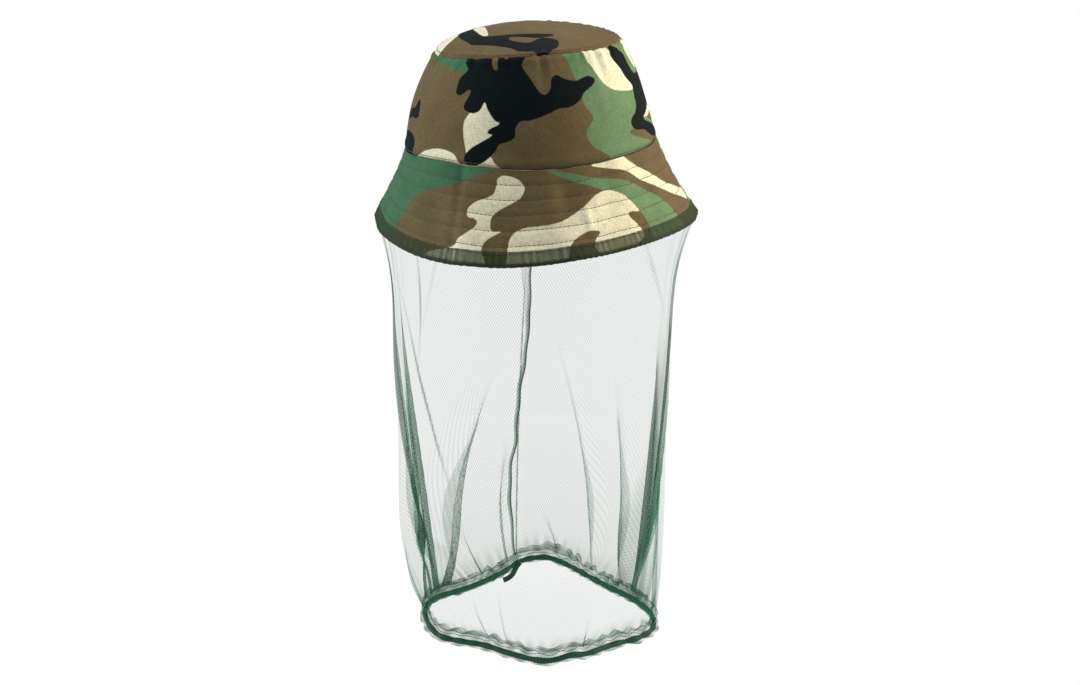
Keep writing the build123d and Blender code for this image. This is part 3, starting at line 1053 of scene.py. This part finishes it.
def stitch_row(track, pitch=STITCH_PITCH, closed=True):
    """Stitches laid along a track of points in mm."""
    line = bpy.data.curves.new("track", "CURVE")
    line.dimensions = "3D"
    spline = line.splines.new("POLY")
    spline.points.add(len(track) - 1)
    places = np.concatenate([track * MM, np.ones((len(track), 1))], 1)
    spline.points.foreach_set("co", places.astype(np.float32).ravel())
    spline.use_cyclic_u = closed
    path = link("track", line)
    ahead = np.roll(track, -1, 0) if closed else track[1:]
    behind = track if closed else track[:-1]
    length = np.linalg.norm(ahead - behind, axis=1).sum()
    count = max(2, int(length / pitch))
    row = link("row", stitch.data.copy())
    finish_with(
        row,
        "ARRAY",
        count=count,
        use_relative_offset=False,
        use_constant_offset=True,
        constant_offset_displace=(length / count * MM, 0, 0),
    )
    finish_with(row, "CURVE", object=path, deform_axis="POS_X")
    bpy.data.objects.remove(path)
    return row


def stitching(name, node_name, rows, body="hat", finish=thread_finish):
    """Joins rows of stitches to one piece."""
    bpy.ops.object.select_all(action="DESELECT")
    for row in rows:
        row.select_set(True)
    bpy.context.view_layer.objects.active = rows[0]
    if len(rows) > 1:
        bpy.ops.object.join()
    piece = rows[0]
    piece.name = name
    piece.data.name = name
    piece.data.materials.clear()
    piece.data.materials.append(finish)
    piece.data.shade_smooth()
    if body:
        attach(piece, body)
    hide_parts(node_name)
    return piece


track_turns = grid(-180, 179.2, 0.8)
THREAD_LIFT = 0.12
brim_rows = []
for number in range(1, QUILT_ROWS + 1):
    run = number * ROW_PITCH + 0.25 * RIPPLE(track_turns, 0)
    brim_rows.append(stitch_row(brim_point(track_turns, run, -THREAD_LIFT)))
    brim_rows.append(stitch_row(brim_point(track_turns, run, BRIM_STACK + THREAD_LIFT)))
stitching("brim_stitching_thread", "brim_stitching", brim_rows)
binding_run = BRIM_LENGTH - BINDING_WIDTH + 1.2 + 0.3 * RIPPLE(track_turns, 0)
binding_row = stitch_row(brim_point(track_turns, binding_run, -BINDING_GAP - 0.25))
stitching("binding_stitching_thread", "binding_stitching", [binding_row])
base_row = stitch_row(crown_point(track_turns, 2.2 + 0 * track_turns, -THREAD_LIFT))
stitching("crown_base_stitching_thread", "crown_base_stitching", [base_row])
tip_row = stitch_row(tip_point(track_turns, TIP_RADIUS - 1.7, THREAD_LIFT), pitch=2.9)
stitching("tip_stitching_thread", "tip_stitching", [tip_row])
print("four stitched pieces on the hat")

# %% [markdown]
# ## The hem's loop
#
# The hem lies as the elastic lets it: not as a circle, but as a rounded diamond whose
# corners are where the net is bunched. Its line is a closed smooth loop through a few points,
# read as millimetres to the right and to the back. The net that hangs to it needs to know
# the loop's radius at any turn, so the loop is turned into a table of radius by turn.

# %% The hem's loop
HEM_LOOP = [
    (4, -95), (26, -92), (41, -85), (60, -71), (79, -60), (91, -45), (93, -24), (89, -9),
    (79, 11), (64, 31), (40, 57), (22, 79), (8, 91), (-9, 88), (-19, 78), (-28, 63), (-46, 43),
    (-64, 25), (-81, 11), (-89, -8), (-86, -33), (-75, -54), (-58, -63), (-40, -70), (-22, -82),
]
loop_line = smooth_loop(HEM_LOOP, 12)
loop_turns = np.degrees(np.arctan2(loop_line[:, 0], -loop_line[:, 1]))
loop_radii = np.hypot(loop_line[:, 0], loop_line[:, 1])
in_order = np.argsort(loop_turns)
loop_turns, loop_radii = loop_turns[in_order], loop_radii[in_order]
HEM_MIDDLE = HEM_BOTTOM + 3.6
HEM_WAVE = frozen_uneven(2, 6, 1)
HEM_FLUTTER = frozen_uneven(20, 55, 14, 9)


def hem_radius(turn):
    """Radius of the hem's loop at a turn, in mm."""
    return np.interp(turn, loop_turns, loop_radii, period=360)


def hem_point(turn, outwards, height):
    """A point beside the hem's loop: mm out from it, and mm above its middle."""
    radius = hem_radius(turn) + outwards
    rise = 1.0 * HEM_WAVE(turn) + 2.2 * near(turn, 16, 6)
    a = np.radians(turn)
    return np.stack([radius * np.sin(a), -radius * np.cos(a), HEM_MIDDLE + rise + height], -1)


print("hem radius at the front and the back", hem_radius(0.0).round(1), hem_radius(180.0).round(1))

# %% [markdown]
# ## The veil
#
# The veil is one length of net, joined at the back. It leaves the brim's edge, falls inwards
# to a straight tube and is gathered down to the hem. The net is springy, so the gathers
# don't spread evenly. They collect into a few long pleats that run up from the hem and die
# out, with smooth net between them. A pleat is drawn as the cloth does it: the net slides
# sideways over itself and back, so that three layers lie one behind another, with one edge
# a little further out. Each pleat has its turn at the hem and at its upper end, the share of
# the drop where it starts, its half width in degrees, how far the net slides as a share of
# that width, how many times the net is crumpled inside it, and the share of the drop where
# it dies out, if it does. A pleat that doesn't slide is only a haze of crumpled net. Under
# the brim's two sides the net also bunches in fine streaks.

# %% Pleats
PLEATS = [
    # turn at the hem, turn at its top, start, half width, slide, layers, end
    (-97, -104, 0.10, 3.6, 0.85, 2.3, 2.0),
    (-91, -82, 0.10, 2.4, 0.62, 2.0, 2.0),
    (-89, -89, -0.10, 2.0, 0.65, 3.0, 0.98),
    (91, 90, -0.10, 2.0, 0.65, 3.0, 0.98),
    (-86, -100, 0.30, 3.0, 0.70, 1.6, 2.0),
    (-76, -64, 0.70, 4.0, 0.80, 1.2, 2.0),
    (-8, -72, 0.00, 1.8, 0.62, 2.6, 0.66),
    (-69, -41, -0.20, 1.6, 0.60, 1.8, 0.36),
    (-103, -23, -0.20, 1.5, 0.60, 1.4, 0.24),
    (159, 17, -0.20, 1.6, 0.60, 1.8, 0.30),
    (-104, -169, 0.42, 5.0, 1.05, 1.5, 2.0),
    (-168, -179, 0.00, 2.4, 0.62, 1.0, 2.0),
    (-160, -170, 0.60, 3.0, 0.80, 1.0, 2.0),
    (138, 172, 0.36, 2.0, 0.62, 2.0, 2.0),
    (111, 138, 0.44, 5.5, 1.05, 1.9, 2.0),
    (98, 107, 0.25, 15.0, 1.00, 1.8, 2.0),
    (88, 94, -0.10, 3.0, 0.70, 2.6, 2.0),
    (77, 84, 0.52, 4.5, 0.80, 1.2, 2.0),
    (99, 101, 0.20, 14.0, 0.00, 1.4, 2.0),
    (111, 115, 0.45, 9.0, 0.00, 1.2, 2.0),
    (-99, -102, 0.25, 18.0, 0.00, 0.6, 2.0),
    (-15, -14, 0.80, 1.4, 0.60, 1.6, 2.0),
    (-27, -27, 0.84, 1.6, 0.60, 1.6, 2.0),
    (22, 24, 0.90, 2.2, 0.60, 1.0, 2.0),
    (60, 66, 0.86, 2.5, 0.70, 1.0, 2.0),
    (-58, -56, 0.86, 2.4, 0.70, 1.0, 2.0),
    (168, 178, 0.88, 2.6, 0.70, 1.0, 2.0),
    (-135, -140, 0.86, 2.2, 0.70, 1.2, 2.0),
]
VEIL_RADIUS = 107.2
VEIL_SHIFT = -2.4
TOP_RUN = BRIM_LENGTH + 0.6
STREAK_TURN = 91
FLARE_END = 0.24
GATHER_START = 0.74
TAUT_START = 0.2
VEIL_FOOT = 7.0
MOST_LAYERS = 22
SWAY = frozen_uneven(5, 14, 0.9)
WRINKLE = frozen_uneven(22, 60, 0.35, 10)
MIST = frozen_uneven(30, 80, 0.4, 10)


def around_turn(turn, centre):
    """Degrees from a centre, by the short way round."""
    return (turn - centre + 180) % 360 - 180


def veil_ring(turn, drop, taut=0.0):
    """The veil before it is pleated. taut is 1 where a pleat pulls it straight to the hem."""
    a = np.radians(turn)
    top = brim_point(turn, TOP_RUN, BRIM_STACK / 2)
    tube_x = VEIL_RADIUS * np.sin(a) + VEIL_SHIFT
    tube_y = -VEIL_RADIUS * np.cos(a)
    foot = hem_point(turn, 0.0, VEIL_FOOT)
    flare = (1 - np.clip(drop / FLARE_END, 0, 1)) ** 2
    gather = np.clip((drop - GATHER_START) / (1 - GATHER_START), 0, 1) ** 2.2
    pulled = np.clip((drop - TAUT_START) / (1 - TAUT_START), 0, 1) ** 1.2
    gather = gather + (pulled - gather) * taut
    tube = 1 - flare - gather
    x = top[..., 0] * flare + tube_x * tube + foot[..., 0] * gather
    y = top[..., 1] * flare + tube_y * tube + foot[..., 1] * gather
    z = top[..., 2] + (foot[..., 2] - top[..., 2]) * drop
    return x, y, z


def veil_surface(turn, drop):
    """The pleated veil: its points in mm and its layers."""
    slid = turn.copy()
    out = 0.9 * SWAY(turn, drop) * smooth(drop, 0.05, 0.5)
    out = out + 0.35 * WRINKLE(turn, drop) * (0.4 + 0.6 * smooth(drop, 0.6, 1.0))
    # More layers towards the hem make the net darker there: painted shade of the veil's lower part.
    layers = 1 + 0.6 * smooth(drop, 0.5, 0.95) * np.ones_like(turn)
    taut = np.zeros_like(turn)
    for foot_turn, top_turn, start, width, slide, crumple, end in PLEATS:
        grown = smooth(drop, start, min(1.0, start + 0.45)) * (1 - smooth(drop, end - 0.3, end))
        centre = top_turn + (foot_turn - top_turn) * np.clip((drop - start) / (1 - start), 0, 1)
        away = around_turn(turn, centre) / width
        window = np.clip(1 - away**2, 0, 1) ** 2
        swing = np.sin(np.pi * away) * window * grown
        slid = slid - slide * width * swing
        out = out - 0.65 * min(width, 4) * swing
        layers = layers + crumple * 2.2 * np.clip(1 - (away / 0.62) ** 2, 0, 1) * grown
        reach = np.clip(1 - (around_turn(turn, centre) / min(width * 2.4, 11)) ** 2, 0, 1) ** 2
        taut = np.maximum(taut, reach * (start < 0.6 and end > 1 and slide > 0))
    squeezed = np.gradient(slid, axis=1) / np.gradient(turn, axis=1)
    layers = layers + 6.0 * near(squeezed, 0.0, 0.3)
    from_side = np.abs(np.abs(turn) - STREAK_TURN)
    streaks = np.clip(0.3 + MIST(turn, 0.2 * drop), 0, 2)
    layers = layers + 3.2 * streaks * near(from_side, 0, 11) * (1 - 0.5 * smooth(drop, 0.1, 0.5))
    layers = layers + 3.0 * streaks * near(from_side, 0, 24) * smooth(drop, 0.78, 1.0)
    x, y, z = veil_ring(slid, drop, taut)
    a = np.radians(slid)
    layers = layers + 2.5 * smooth(drop, 0.95, 1.0) * (1 + 0.6 * MIST(turn, drop))
    points = np.stack([x + out * np.sin(a), y - out * np.cos(a), z], -1)
    return points, np.clip(layers, 0.8, MOST_LAYERS)


def laid_flat(turns):
    """Where turns lie along the net's flat width, in mm."""
    return (turns + 180) / 360 * NET_WIDTH / MM


VEIL_COLUMNS = 720
VEIL_ROWS = 84
NET_WIDTH = 0.76
NET_LENGTH = 0.325
veil_turns = grid(-180, 180 - 360 / VEIL_COLUMNS, 360 / VEIL_COLUMNS)
drops = np.linspace(0, 1, VEIL_ROWS)
t, drop = np.meshgrid(veil_turns, drops)
veil_points, veil_layers = veil_surface(t, drop)
veil_mesh = strip_mesh(
    "veil_net_cloth",
    veil_points[::-1],
    laid_flat(veil_turns),
    drops * NET_LENGTH / MM,
    veil_layers[::-1],
)
veil = new_piece("veil_net_cloth", veil_mesh, veil_net_finish)
print("veil faces", len(veil_mesh.polygons))

# %% [markdown]
# ## The veil's back seam
#
# Down the middle of the back the net's two ends are joined. The allowance is a narrow
# strip that stands inside the veil and wanders, because the stitching has drawn it up. It
# lies open near the brim and folds into three lower down. It follows the veil's own
# surface, a little inside it.

# %% Back seam
SEAM_FOOT_TURN = -168.0
SEAM_TOP_TURN = -179.0
SEAM_WANDER = frozen_uneven(3, 9, 0.12, 8)
seam_rows = np.linspace(0.0, 0.995, 150)


def seam_turn(drop):
    """The turn of the back seam at a share of the drop."""
    path = SEAM_TOP_TURN + (SEAM_FOOT_TURN - SEAM_TOP_TURN) * smooth(drop, 0.25, 1.0)
    return path + 0.35 * SEAM_WANDER(0.0, drop) + 0.25 * np.sin(drop * 60) * smooth(drop, 0, 0.3)


def inside_veil(turn, drop, inwards):
    """A point a little inside the unpleated veil."""
    x, y, z = veil_ring(turn, drop)
    a = np.radians(turn)
    return np.stack([x - inwards * np.sin(a), y + inwards * np.cos(a), z], -1)


across = np.linspace(0, 1, 13)
w, drop = np.meshgrid(across, seam_rows)
open_width = 5.6 + 0.5 * SEAM_WANDER(90.0, drop)
folded = smooth(drop, 0.12, 0.4)
zigzag = np.abs((3 * w + 1) % 2 - 1) / 3
strip_turn = seam_turn(drop) + open_width * (w + (zigzag - w) * folded)
strip_depth = 1.2 + 0.9 * w * folded + 0.5 * np.sin(w * 5 + drop * 50) * (1 - folded)
seam_points = inside_veil(strip_turn, drop, strip_depth)
SEAM_WIDTH = 10
SEAM_LENGTH = 318
seam_mesh = cloth_mesh(
    "veil_back_seam_strip", seam_points[::-1], across * SEAM_WIDTH, seam_rows * SEAM_LENGTH
)
seam_layers = 1.6 + 14.0 * near(w, 0.05, 0.13) + 2.0 * near(w, 1.0, 0.08)
store_numbers(seam_mesh, "layers", seam_layers[::-1])
back_seam = new_piece("veil_back_seam_strip", seam_mesh, veil_net_finish)
seam_track = inside_veil(seam_turn(seam_rows) + 0.5, seam_rows, 2.6)
seam_thread, seam_thread_tree, seam_thread_shader = new_material("dark green sewing thread")
seam_fuzz = clouds(seam_thread_tree, object_place(seam_thread_tree), 0.8 * MM)
seam_relief = relief(seam_thread_tree, seam_fuzz, 1.0, 0.1 * MM)
seam_look = {"Base Color": srgb("#1b3a2b"), "Normal": seam_relief, "Roughness": 0.6}
feed(seam_thread_tree, seam_thread_shader, seam_look)
seam_stitches = stitching(
    "veil_seam_stitching_thread",
    "veil_seam_stitching",
    [stitch_row(seam_track, 2.6, closed=False)],
    body=None,
    finish=seam_thread,
)
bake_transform(veil)
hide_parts("veil_net")
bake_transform(back_seam)
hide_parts("veil_back_seam")
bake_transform(seam_stitches)
print("back seam faces", len(seam_mesh.polygons))

# %% [markdown]
# ## The hem
#
# The net's lower edge is turned up on itself to make a channel, and a braided elastic is
# threaded through it. When the elastic draws the channel in, the net crinkles along it: a
# frilled collar stands above the elastic, and the fold frays out below it.

# %% Hem casing
casing_turns = grid(-180, 180 - 0.6, 0.6)
profile_out = np.array([-2.6, -2.4, -2.9, -3.2, -2.4, 0.0, 2.4, 4.6, 3.2, 2.9, 1.8, 1.4])
profile_up = np.array([9.6, 6.0, 3.2, 0.0, -2.6, -3.4, -2.8, -2.2, 0.0, 3.0, 6.5, 10.2])
profile_layers = np.array([7.0, 3.0, 3.0, 3.0, 3.5, 4.0, 4.0, 3.5, 3.0, 3.0, 3.0, 7.0])
t, place = np.meshgrid(casing_turns, np.arange(len(profile_out)))
free = np.abs(profile_up[place] - 1.0) / 10
frill_out = HEM_FLUTTER(t, profile_up[place]) * (0.3 + 1.6 * np.clip(free - 0.2, 0, 1))
frill_up = 1.6 * HEM_FLUTTER(t + 40, 0.3 * profile_up[place]) * free
frill_up = frill_up + 4.5 * near(np.abs(around_turn(t, 166)), 0, 14) * smooth(profile_up[place], 5, 10)
casing_points = hem_point(t, profile_out[place] + frill_out, profile_up[place] + frill_up)
casing_layers = profile_layers[place] * (1 + 0.6 * HEM_FLUTTER(t, profile_up[place]))
CASING_STEP = 2.9
# turn, half width in degrees, layers
BUNCHES = [(94, 10, 6), (-94, 10, 6), (-150, 12, 4), (118, 7, 4), (-112, 6, 3)]
for bunch_turn, bunch_width, bunch in BUNCHES:
    casing_layers = casing_layers + bunch * near(t, bunch_turn, bunch_width)
casing_mesh = strip_mesh(
    "hem_casing_net",
    casing_points,
    laid_flat(casing_turns),
    np.arange(len(profile_out)) * CASING_STEP,
    np.clip(casing_layers, 0.8, 20),
)
casing = new_piece("hem_casing_net", casing_mesh, veil_net_finish)
finish_with(casing, "SUBSURF", levels=1, render_levels=1)
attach(casing, "hem")
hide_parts("hem_casing")
print("casing faces", len(casing.data.polygons))

# %% Elastic
elastic_finish, elastic_tree, elastic_shader = new_material("braided elastic")
braid = clouds(elastic_tree, object_place(elastic_tree), 2.2 * MM)
elastic_tint = mixed(elastic_tree, braid, srgb("#0a1611"), srgb("#1b3327"))
elastic_relief = relief(elastic_tree, braid, 1.0, 0.5 * MM)
elastic_look = {"Base Color": elastic_tint, "Normal": elastic_relief, "Roughness": 0.75}
feed(elastic_tree, elastic_shader, elastic_look)

CORD_WIDE = 1.9
CORD_HIGH = 2.3
elastic_turns = grid(-180, 180 - 0.75, 0.75)
around_cord = np.radians(grid(0, 330, 30))
t, spin = np.meshgrid(elastic_turns, around_cord)
knobs = 1 + 0.10 * np.sin(np.radians(t) * 240 + spin * 2) + 0.10 * HEM_FLUTTER(t)
cord_points = hem_point(t, CORD_WIDE * np.cos(spin) * knobs, CORD_HIGH * np.sin(spin) * knobs)
cord_points = np.transpose(cord_points, (1, 0, 2))
cord_points = np.concatenate([cord_points, cord_points[:1]], 0)
elastic_mesh = cloth_mesh(
    "elastic_band_braid",
    cord_points,
    np.arange(len(around_cord)),
    np.arange(len(cord_points)) * 1.2,
    closed=True,
)
elastic = new_piece("elastic_band_braid", elastic_mesh, elastic_finish)
weld(elastic, 0.01, outwards=True)
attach(elastic, "hem")
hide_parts("elastic_band")
print("elastic faces", len(elastic_mesh.polygons))

# %% The elastic's cut end
TAIL_TURN = -167.0
tail_line = bpy.data.curves.new("elastic_tail", "CURVE")
tail_line.dimensions = "3D"
tail_line.bevel_depth = CORD_HIGH * MM
tail_line.bevel_resolution = 3
tail_line.use_fill_caps = True
tail_spline = tail_line.splines.new("NURBS")
root = hem_point(np.array(TAIL_TURN), 0.0, 0.0)
tail_steps = [
    (4, -0.5, 1.5), (1.5, -1.5, -1), (-0.5, -2.5, -5),
    (-2.5, -3, -9), (-6.5, -4, -12), (-10, -4.5, -13),
]
tail_spline.points.add(len(tail_steps) - 1)
for spot, step in zip(tail_spline.points, tail_steps):
    spot.co = (*((root + np.array(step)) * MM), 1)
tail_spline.order_u = 3
tail_spline.use_endpoint_u = True
tail = link("elastic_tail_end", tail_line)
only(tail)
bpy.ops.object.convert(target="MESH")
tail = bpy.context.active_object
tail.data.materials.append(elastic_finish)
tail.data.shade_smooth()
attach(tail, "hem")
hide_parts("elastic_tail")
print("tail faces", len(tail.data.polygons))

# %% Hem stitching
hem_row_up = 6.4 + 1.1 * HEM_FLUTTER(track_turns + 40, 2.0)
hem_row = stitch_row(hem_point(track_turns, 2.6 + 0.6 * HEM_FLUTTER(track_turns, 6.0), hem_row_up), 2.7)
inner_row_up = 6.0 + 1.1 * HEM_FLUTTER(track_turns + 90, 2.0)
inner_row = stitch_row(hem_point(track_turns, -2.6, inner_row_up), 2.7)
stitching("hem_stitching_thread", "hem_stitching", [hem_row, inner_row], "hem", finish=seam_thread)
bpy.data.objects.remove(stitch)
print("hem stitched")
